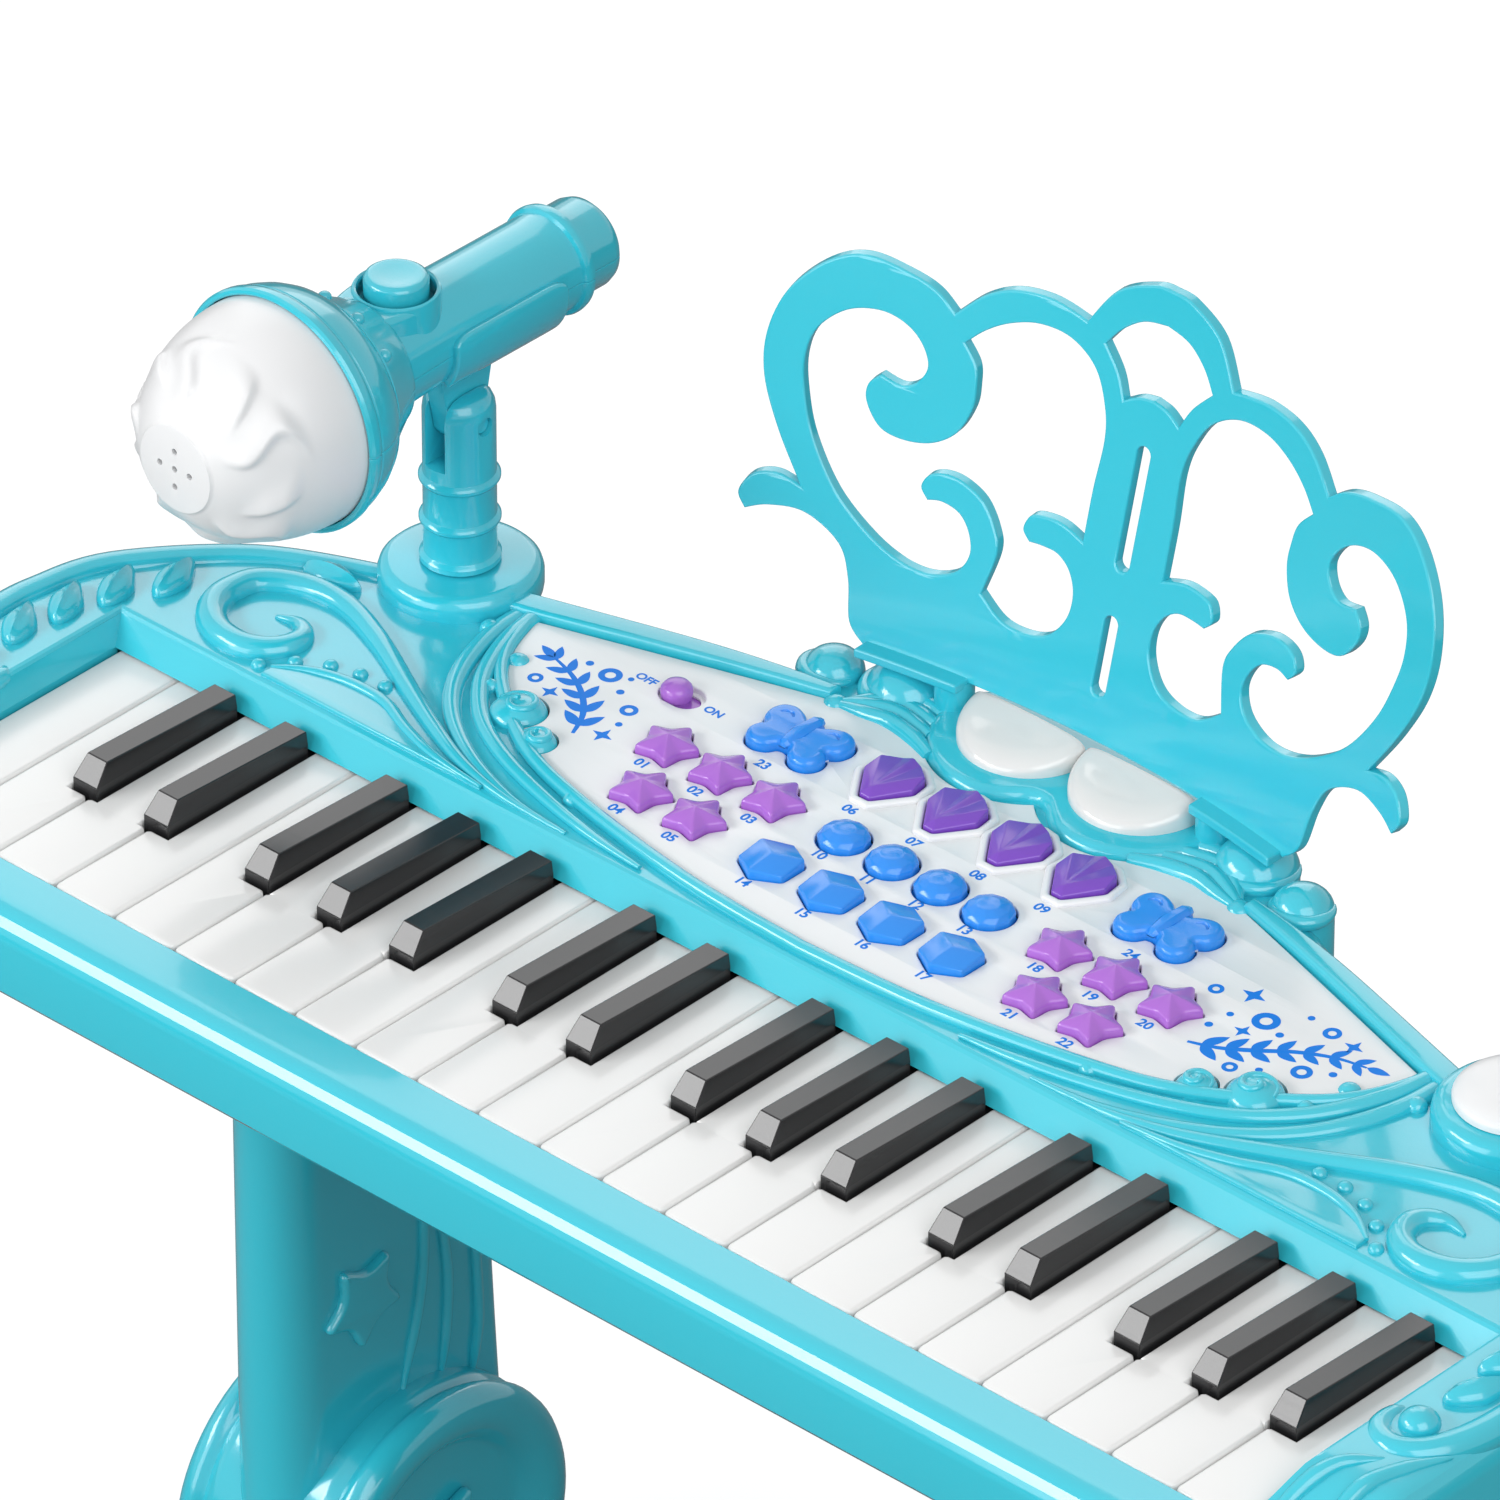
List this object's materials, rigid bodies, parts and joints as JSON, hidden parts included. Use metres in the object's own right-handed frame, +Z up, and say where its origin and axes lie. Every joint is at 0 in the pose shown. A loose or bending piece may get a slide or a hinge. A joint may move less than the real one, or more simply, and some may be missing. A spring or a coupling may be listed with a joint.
{
  "type": "toy electronic keyboard",
  "caption": "Standing toy keyboard for a child: sprung white and black keys, push buttons, swivelling microphone and scroll-work music rest on moulded legs",
  "frame": {"origin": "centre of the bounding box's bottom face, on the floor under the legs", "axes": "+X along the keys to the right as the player sees them, +Y away from the player, +Z up"},
  "size_m": [0.4262, 0.2086, 0.3513],
  "materials": {
    "teal": "smooth moulded gloss",
    "white": "smooth moulded gloss",
    "key_white": "polished key plastic",
    "key_black": "polished key plastic",
    "lilac": "smooth moulded gloss",
    "violet": "smooth moulded gloss",
    "blue": "smooth moulded gloss",
    "lamp": "milky translucent cover",
    "board": "bare circuit board",
    "speaker": "paper cone in a plastic basket"
  },
  "bodies": {
    "keyboard": {"upper_case": "teal", "lower_case": "teal", "control_panel": "white", "lamp_lens": "lamp", "light_dome": "white", "music_rest": "teal", "left_leg": "teal", "right_leg": "teal", "circuit_board": "board", "speaker": "speaker", "battery_cover": "teal"},
    "black_key_01": {"black_key_01": "key_black"},
    "black_key_02": {"black_key_02": "key_black"},
    "black_key_03": {"black_key_03": "key_black"},
    "black_key_04": {"black_key_04": "key_black"},
    "black_key_05": {"black_key_05": "key_black"},
    "black_key_06": {"black_key_06": "key_black"},
    "black_key_07": {"black_key_07": "key_black"},
    "black_key_08": {"black_key_08": "key_black"},
    "black_key_09": {"black_key_09": "key_black"},
    "black_key_10": {"black_key_10": "key_black"},
    "black_key_11": {"black_key_11": "key_black"},
    "black_key_12": {"black_key_12": "key_black"},
    "black_key_13": {"black_key_13": "key_black"},
    "black_key_14": {"black_key_14": "key_black"},
    "black_key_15": {"black_key_15": "key_black"},
    "white_key_01": {"white_key_01": "key_white"},
    "white_key_02": {"white_key_02": "key_white"},
    "white_key_03": {"white_key_03": "key_white"},
    "white_key_04": {"white_key_04": "key_white"},
    "white_key_05": {"white_key_05": "key_white"},
    "white_key_06": {"white_key_06": "key_white"},
    "white_key_07": {"white_key_07": "key_white"},
    "white_key_08": {"white_key_08": "key_white"},
    "white_key_09": {"white_key_09": "key_white"},
    "white_key_10": {"white_key_10": "key_white"},
    "white_key_11": {"white_key_11": "key_white"},
    "white_key_12": {"white_key_12": "key_white"},
    "white_key_13": {"white_key_13": "key_white"},
    "white_key_14": {"white_key_14": "key_white"},
    "white_key_15": {"white_key_15": "key_white"},
    "white_key_16": {"white_key_16": "key_white"},
    "white_key_17": {"white_key_17": "key_white"},
    "white_key_18": {"white_key_18": "key_white"},
    "white_key_19": {"white_key_19": "key_white"},
    "white_key_20": {"white_key_20": "key_white"},
    "white_key_21": {"white_key_21": "key_white"},
    "white_key_22": {"white_key_22": "key_white"},
    "star_buttons_left": {"star_buttons_left": "lilac"},
    "star_buttons_right": {"star_buttons_right": "lilac"},
    "round_buttons": {"round_buttons": "blue"},
    "gem_buttons": {"gem_buttons": "blue"},
    "shell_buttons": {"shell_buttons": "violet"},
    "butterfly_button_left": {"butterfly_button_left": "blue"},
    "butterfly_button_right": {"butterfly_button_right": "blue"},
    "power_switch": {"power_switch": "lilac"},
    "mic_post": {"mic_post": "teal"},
    "microphone": {"mic_handle": "teal", "mic_head": "white"},
    "mic_button": {"mic_button": "teal"}
  },
  "joints": [
    {"name": "black_key_01_hinge", "type": "hinge", "parent": "keyboard", "child": "black_key_01", "pos_m": [-0.1547, -0.00212, 0.234], "axis": [1, 0, 0], "range_deg": [0, 2.6], "stiffness_Nm_per_rad": 0.5, "springref_deg": -1.72},
    {"name": "black_key_02_hinge", "type": "hinge", "parent": "keyboard", "child": "black_key_02", "pos_m": [-0.1343, -0.00212, 0.234], "axis": [1, 0, 0], "range_deg": [0, 2.6], "stiffness_Nm_per_rad": 0.5, "springref_deg": -1.72},
    {"name": "black_key_03_hinge", "type": "hinge", "parent": "keyboard", "child": "black_key_03", "pos_m": [-0.1054, -0.00212, 0.234], "axis": [1, 0, 0], "range_deg": [0, 2.6], "stiffness_Nm_per_rad": 0.5, "springref_deg": -1.72},
    {"name": "black_key_04_hinge", "type": "hinge", "parent": "keyboard", "child": "black_key_04", "pos_m": [-0.085, -0.00212, 0.234], "axis": [1, 0, 0], "range_deg": [0, 2.6], "stiffness_Nm_per_rad": 0.5, "springref_deg": -1.72},
    {"name": "black_key_05_hinge", "type": "hinge", "parent": "keyboard", "child": "black_key_05", "pos_m": [-0.0646, -0.00212, 0.234], "axis": [1, 0, 0], "range_deg": [0, 2.6], "stiffness_Nm_per_rad": 0.5, "springref_deg": -1.72},
    {"name": "black_key_06_hinge", "type": "hinge", "parent": "keyboard", "child": "black_key_06", "pos_m": [-0.0357, -0.00212, 0.234], "axis": [1, 0, 0], "range_deg": [0, 2.6], "stiffness_Nm_per_rad": 0.5, "springref_deg": -1.72},
    {"name": "black_key_07_hinge", "type": "hinge", "parent": "keyboard", "child": "black_key_07", "pos_m": [-0.0153, -0.00212, 0.234], "axis": [1, 0, 0], "range_deg": [0, 2.6], "stiffness_Nm_per_rad": 0.5, "springref_deg": -1.72},
    {"name": "black_key_08_hinge", "type": "hinge", "parent": "keyboard", "child": "black_key_08", "pos_m": [0.0136, -0.00212, 0.234], "axis": [1, 0, 0], "range_deg": [0, 2.6], "stiffness_Nm_per_rad": 0.5, "springref_deg": -1.72},
    {"name": "black_key_09_hinge", "type": "hinge", "parent": "keyboard", "child": "black_key_09", "pos_m": [0.034, -0.00212, 0.234], "axis": [1, 0, 0], "range_deg": [0, 2.6], "stiffness_Nm_per_rad": 0.5, "springref_deg": -1.72},
    {"name": "black_key_10_hinge", "type": "hinge", "parent": "keyboard", "child": "black_key_10", "pos_m": [0.0544, -0.00212, 0.234], "axis": [1, 0, 0], "range_deg": [0, 2.6], "stiffness_Nm_per_rad": 0.5, "springref_deg": -1.72},
    {"name": "black_key_11_hinge", "type": "hinge", "parent": "keyboard", "child": "black_key_11", "pos_m": [0.0833, -0.00212, 0.234], "axis": [1, 0, 0], "range_deg": [0, 2.6], "stiffness_Nm_per_rad": 0.5, "springref_deg": -1.72},
    {"name": "black_key_12_hinge", "type": "hinge", "parent": "keyboard", "child": "black_key_12", "pos_m": [0.1037, -0.00212, 0.234], "axis": [1, 0, 0], "range_deg": [0, 2.6], "stiffness_Nm_per_rad": 0.5, "springref_deg": -1.72},
    {"name": "black_key_13_hinge", "type": "hinge", "parent": "keyboard", "child": "black_key_13", "pos_m": [0.1326, -0.00212, 0.234], "axis": [1, 0, 0], "range_deg": [0, 2.6], "stiffness_Nm_per_rad": 0.5, "springref_deg": -1.72},
    {"name": "black_key_14_hinge", "type": "hinge", "parent": "keyboard", "child": "black_key_14", "pos_m": [0.153, -0.00212, 0.234], "axis": [1, 0, 0], "range_deg": [0, 2.6], "stiffness_Nm_per_rad": 0.5, "springref_deg": -1.72},
    {"name": "black_key_15_hinge", "type": "hinge", "parent": "keyboard", "child": "black_key_15", "pos_m": [0.1734, -0.00212, 0.234], "axis": [1, 0, 0], "range_deg": [0, 2.6], "stiffness_Nm_per_rad": 0.5, "springref_deg": -1.72},
    {"name": "white_key_01_hinge", "type": "hinge", "parent": "keyboard", "child": "white_key_01", "pos_m": [-0.1785, -0.00212, 0.234], "axis": [1, 0, 0], "range_deg": [0, 2.6], "stiffness_Nm_per_rad": 0.5, "springref_deg": -1.72},
    {"name": "white_key_02_hinge", "type": "hinge", "parent": "keyboard", "child": "white_key_02", "pos_m": [-0.1615, -0.00212, 0.234], "axis": [1, 0, 0], "range_deg": [0, 2.6], "stiffness_Nm_per_rad": 0.5, "springref_deg": -1.72},
    {"name": "white_key_03_hinge", "type": "hinge", "parent": "keyboard", "child": "white_key_03", "pos_m": [-0.1445, -0.00212, 0.234], "axis": [1, 0, 0], "range_deg": [0, 2.6], "stiffness_Nm_per_rad": 0.5, "springref_deg": -1.72},
    {"name": "white_key_04_hinge", "type": "hinge", "parent": "keyboard", "child": "white_key_04", "pos_m": [-0.1275, -0.00212, 0.234], "axis": [1, 0, 0], "range_deg": [0, 2.6], "stiffness_Nm_per_rad": 0.5, "springref_deg": -1.72},
    {"name": "white_key_05_hinge", "type": "hinge", "parent": "keyboard", "child": "white_key_05", "pos_m": [-0.1105, -0.00212, 0.234], "axis": [1, 0, 0], "range_deg": [0, 2.6], "stiffness_Nm_per_rad": 0.5, "springref_deg": -1.72},
    {"name": "white_key_06_hinge", "type": "hinge", "parent": "keyboard", "child": "white_key_06", "pos_m": [-0.0935, -0.00212, 0.234], "axis": [1, 0, 0], "range_deg": [0, 2.6], "stiffness_Nm_per_rad": 0.5, "springref_deg": -1.72},
    {"name": "white_key_07_hinge", "type": "hinge", "parent": "keyboard", "child": "white_key_07", "pos_m": [-0.0765, -0.00212, 0.234], "axis": [1, 0, 0], "range_deg": [0, 2.6], "stiffness_Nm_per_rad": 0.5, "springref_deg": -1.72},
    {"name": "white_key_08_hinge", "type": "hinge", "parent": "keyboard", "child": "white_key_08", "pos_m": [-0.0595, -0.00212, 0.234], "axis": [1, 0, 0], "range_deg": [0, 2.6], "stiffness_Nm_per_rad": 0.5, "springref_deg": -1.72},
    {"name": "white_key_09_hinge", "type": "hinge", "parent": "keyboard", "child": "white_key_09", "pos_m": [-0.0425, -0.00212, 0.234], "axis": [1, 0, 0], "range_deg": [0, 2.6], "stiffness_Nm_per_rad": 0.5, "springref_deg": -1.72},
    {"name": "white_key_10_hinge", "type": "hinge", "parent": "keyboard", "child": "white_key_10", "pos_m": [-0.0255, -0.00212, 0.234], "axis": [1, 0, 0], "range_deg": [0, 2.6], "stiffness_Nm_per_rad": 0.5, "springref_deg": -1.72},
    {"name": "white_key_11_hinge", "type": "hinge", "parent": "keyboard", "child": "white_key_11", "pos_m": [-0.0085, -0.00212, 0.234], "axis": [1, 0, 0], "range_deg": [0, 2.6], "stiffness_Nm_per_rad": 0.5, "springref_deg": -1.72},
    {"name": "white_key_12_hinge", "type": "hinge", "parent": "keyboard", "child": "white_key_12", "pos_m": [0.0085, -0.00212, 0.234], "axis": [1, 0, 0], "range_deg": [0, 2.6], "stiffness_Nm_per_rad": 0.5, "springref_deg": -1.72},
    {"name": "white_key_13_hinge", "type": "hinge", "parent": "keyboard", "child": "white_key_13", "pos_m": [0.0255, -0.00212, 0.234], "axis": [1, 0, 0], "range_deg": [0, 2.6], "stiffness_Nm_per_rad": 0.5, "springref_deg": -1.72},
    {"name": "white_key_14_hinge", "type": "hinge", "parent": "keyboard", "child": "white_key_14", "pos_m": [0.0425, -0.00212, 0.234], "axis": [1, 0, 0], "range_deg": [0, 2.6], "stiffness_Nm_per_rad": 0.5, "springref_deg": -1.72},
    {"name": "white_key_15_hinge", "type": "hinge", "parent": "keyboard", "child": "white_key_15", "pos_m": [0.0595, -0.00212, 0.234], "axis": [1, 0, 0], "range_deg": [0, 2.6], "stiffness_Nm_per_rad": 0.5, "springref_deg": -1.72},
    {"name": "white_key_16_hinge", "type": "hinge", "parent": "keyboard", "child": "white_key_16", "pos_m": [0.0765, -0.00212, 0.234], "axis": [1, 0, 0], "range_deg": [0, 2.6], "stiffness_Nm_per_rad": 0.5, "springref_deg": -1.72},
    {"name": "white_key_17_hinge", "type": "hinge", "parent": "keyboard", "child": "white_key_17", "pos_m": [0.0935, -0.00212, 0.234], "axis": [1, 0, 0], "range_deg": [0, 2.6], "stiffness_Nm_per_rad": 0.5, "springref_deg": -1.72},
    {"name": "white_key_18_hinge", "type": "hinge", "parent": "keyboard", "child": "white_key_18", "pos_m": [0.1105, -0.00212, 0.234], "axis": [1, 0, 0], "range_deg": [0, 2.6], "stiffness_Nm_per_rad": 0.5, "springref_deg": -1.72},
    {"name": "white_key_19_hinge", "type": "hinge", "parent": "keyboard", "child": "white_key_19", "pos_m": [0.1275, -0.00212, 0.234], "axis": [1, 0, 0], "range_deg": [0, 2.6], "stiffness_Nm_per_rad": 0.5, "springref_deg": -1.72},
    {"name": "white_key_20_hinge", "type": "hinge", "parent": "keyboard", "child": "white_key_20", "pos_m": [0.1445, -0.00212, 0.234], "axis": [1, 0, 0], "range_deg": [0, 2.6], "stiffness_Nm_per_rad": 0.5, "springref_deg": -1.72},
    {"name": "white_key_21_hinge", "type": "hinge", "parent": "keyboard", "child": "white_key_21", "pos_m": [0.1615, -0.00212, 0.234], "axis": [1, 0, 0], "range_deg": [0, 2.6], "stiffness_Nm_per_rad": 0.5, "springref_deg": -1.72},
    {"name": "white_key_22_hinge", "type": "hinge", "parent": "keyboard", "child": "white_key_22", "pos_m": [0.1785, -0.00212, 0.234], "axis": [1, 0, 0], "range_deg": [0, 2.6], "stiffness_Nm_per_rad": 0.5, "springref_deg": -1.72},
    {"name": "star_buttons_left_press", "type": "slide", "parent": "keyboard", "child": "star_buttons_left", "axis": [0, 0, -1], "range_m": [0, 0.0015], "stiffness_N_per_m": 200, "springref_m": -0.001},
    {"name": "star_buttons_right_press", "type": "slide", "parent": "keyboard", "child": "star_buttons_right", "axis": [0, 0, -1], "range_m": [0, 0.0015], "stiffness_N_per_m": 200, "springref_m": -0.001},
    {"name": "round_buttons_press", "type": "slide", "parent": "keyboard", "child": "round_buttons", "axis": [0, 0, -1], "range_m": [0, 0.0015], "stiffness_N_per_m": 200, "springref_m": -0.001},
    {"name": "gem_buttons_press", "type": "slide", "parent": "keyboard", "child": "gem_buttons", "axis": [0, 0, -1], "range_m": [0, 0.0015], "stiffness_N_per_m": 200, "springref_m": -0.001},
    {"name": "shell_buttons_press", "type": "slide", "parent": "keyboard", "child": "shell_buttons", "axis": [0, 0, -1], "range_m": [0, 0.0015], "stiffness_N_per_m": 200, "springref_m": -0.001},
    {"name": "butterfly_button_left_press", "type": "slide", "parent": "keyboard", "child": "butterfly_button_left", "axis": [0, 0, -1], "range_m": [0, 0.0015], "stiffness_N_per_m": 200, "springref_m": -0.001},
    {"name": "butterfly_button_right_press", "type": "slide", "parent": "keyboard", "child": "butterfly_button_right", "axis": [0, 0, -1], "range_m": [0, 0.0015], "stiffness_N_per_m": 200, "springref_m": -0.001},
    {"name": "power_switch_slide", "type": "slide", "parent": "keyboard", "child": "power_switch", "axis": [1, 0, 0], "range_m": [0, 0.003]},
    {"name": "mic_swivel", "type": "hinge", "parent": "keyboard", "child": "mic_post", "pos_m": [-0.1455, 0.04308, 0.2507], "axis": [0, 0, 1], "range_deg": [-75, 75]},
    {"name": "mic_tilt", "type": "hinge", "parent": "mic_post", "child": "microphone", "pos_m": [-0.1455, 0.04308, 0.2862], "axis": [1, 0, 0], "range_deg": [-30, 30]},
    {"name": "mic_button_press", "type": "slide", "parent": "microphone", "child": "mic_button", "axis": [0, -0.0087, -1], "range_m": [0, 0.0015], "stiffness_N_per_m": 200, "springref_m": -0.001}
  ]
}
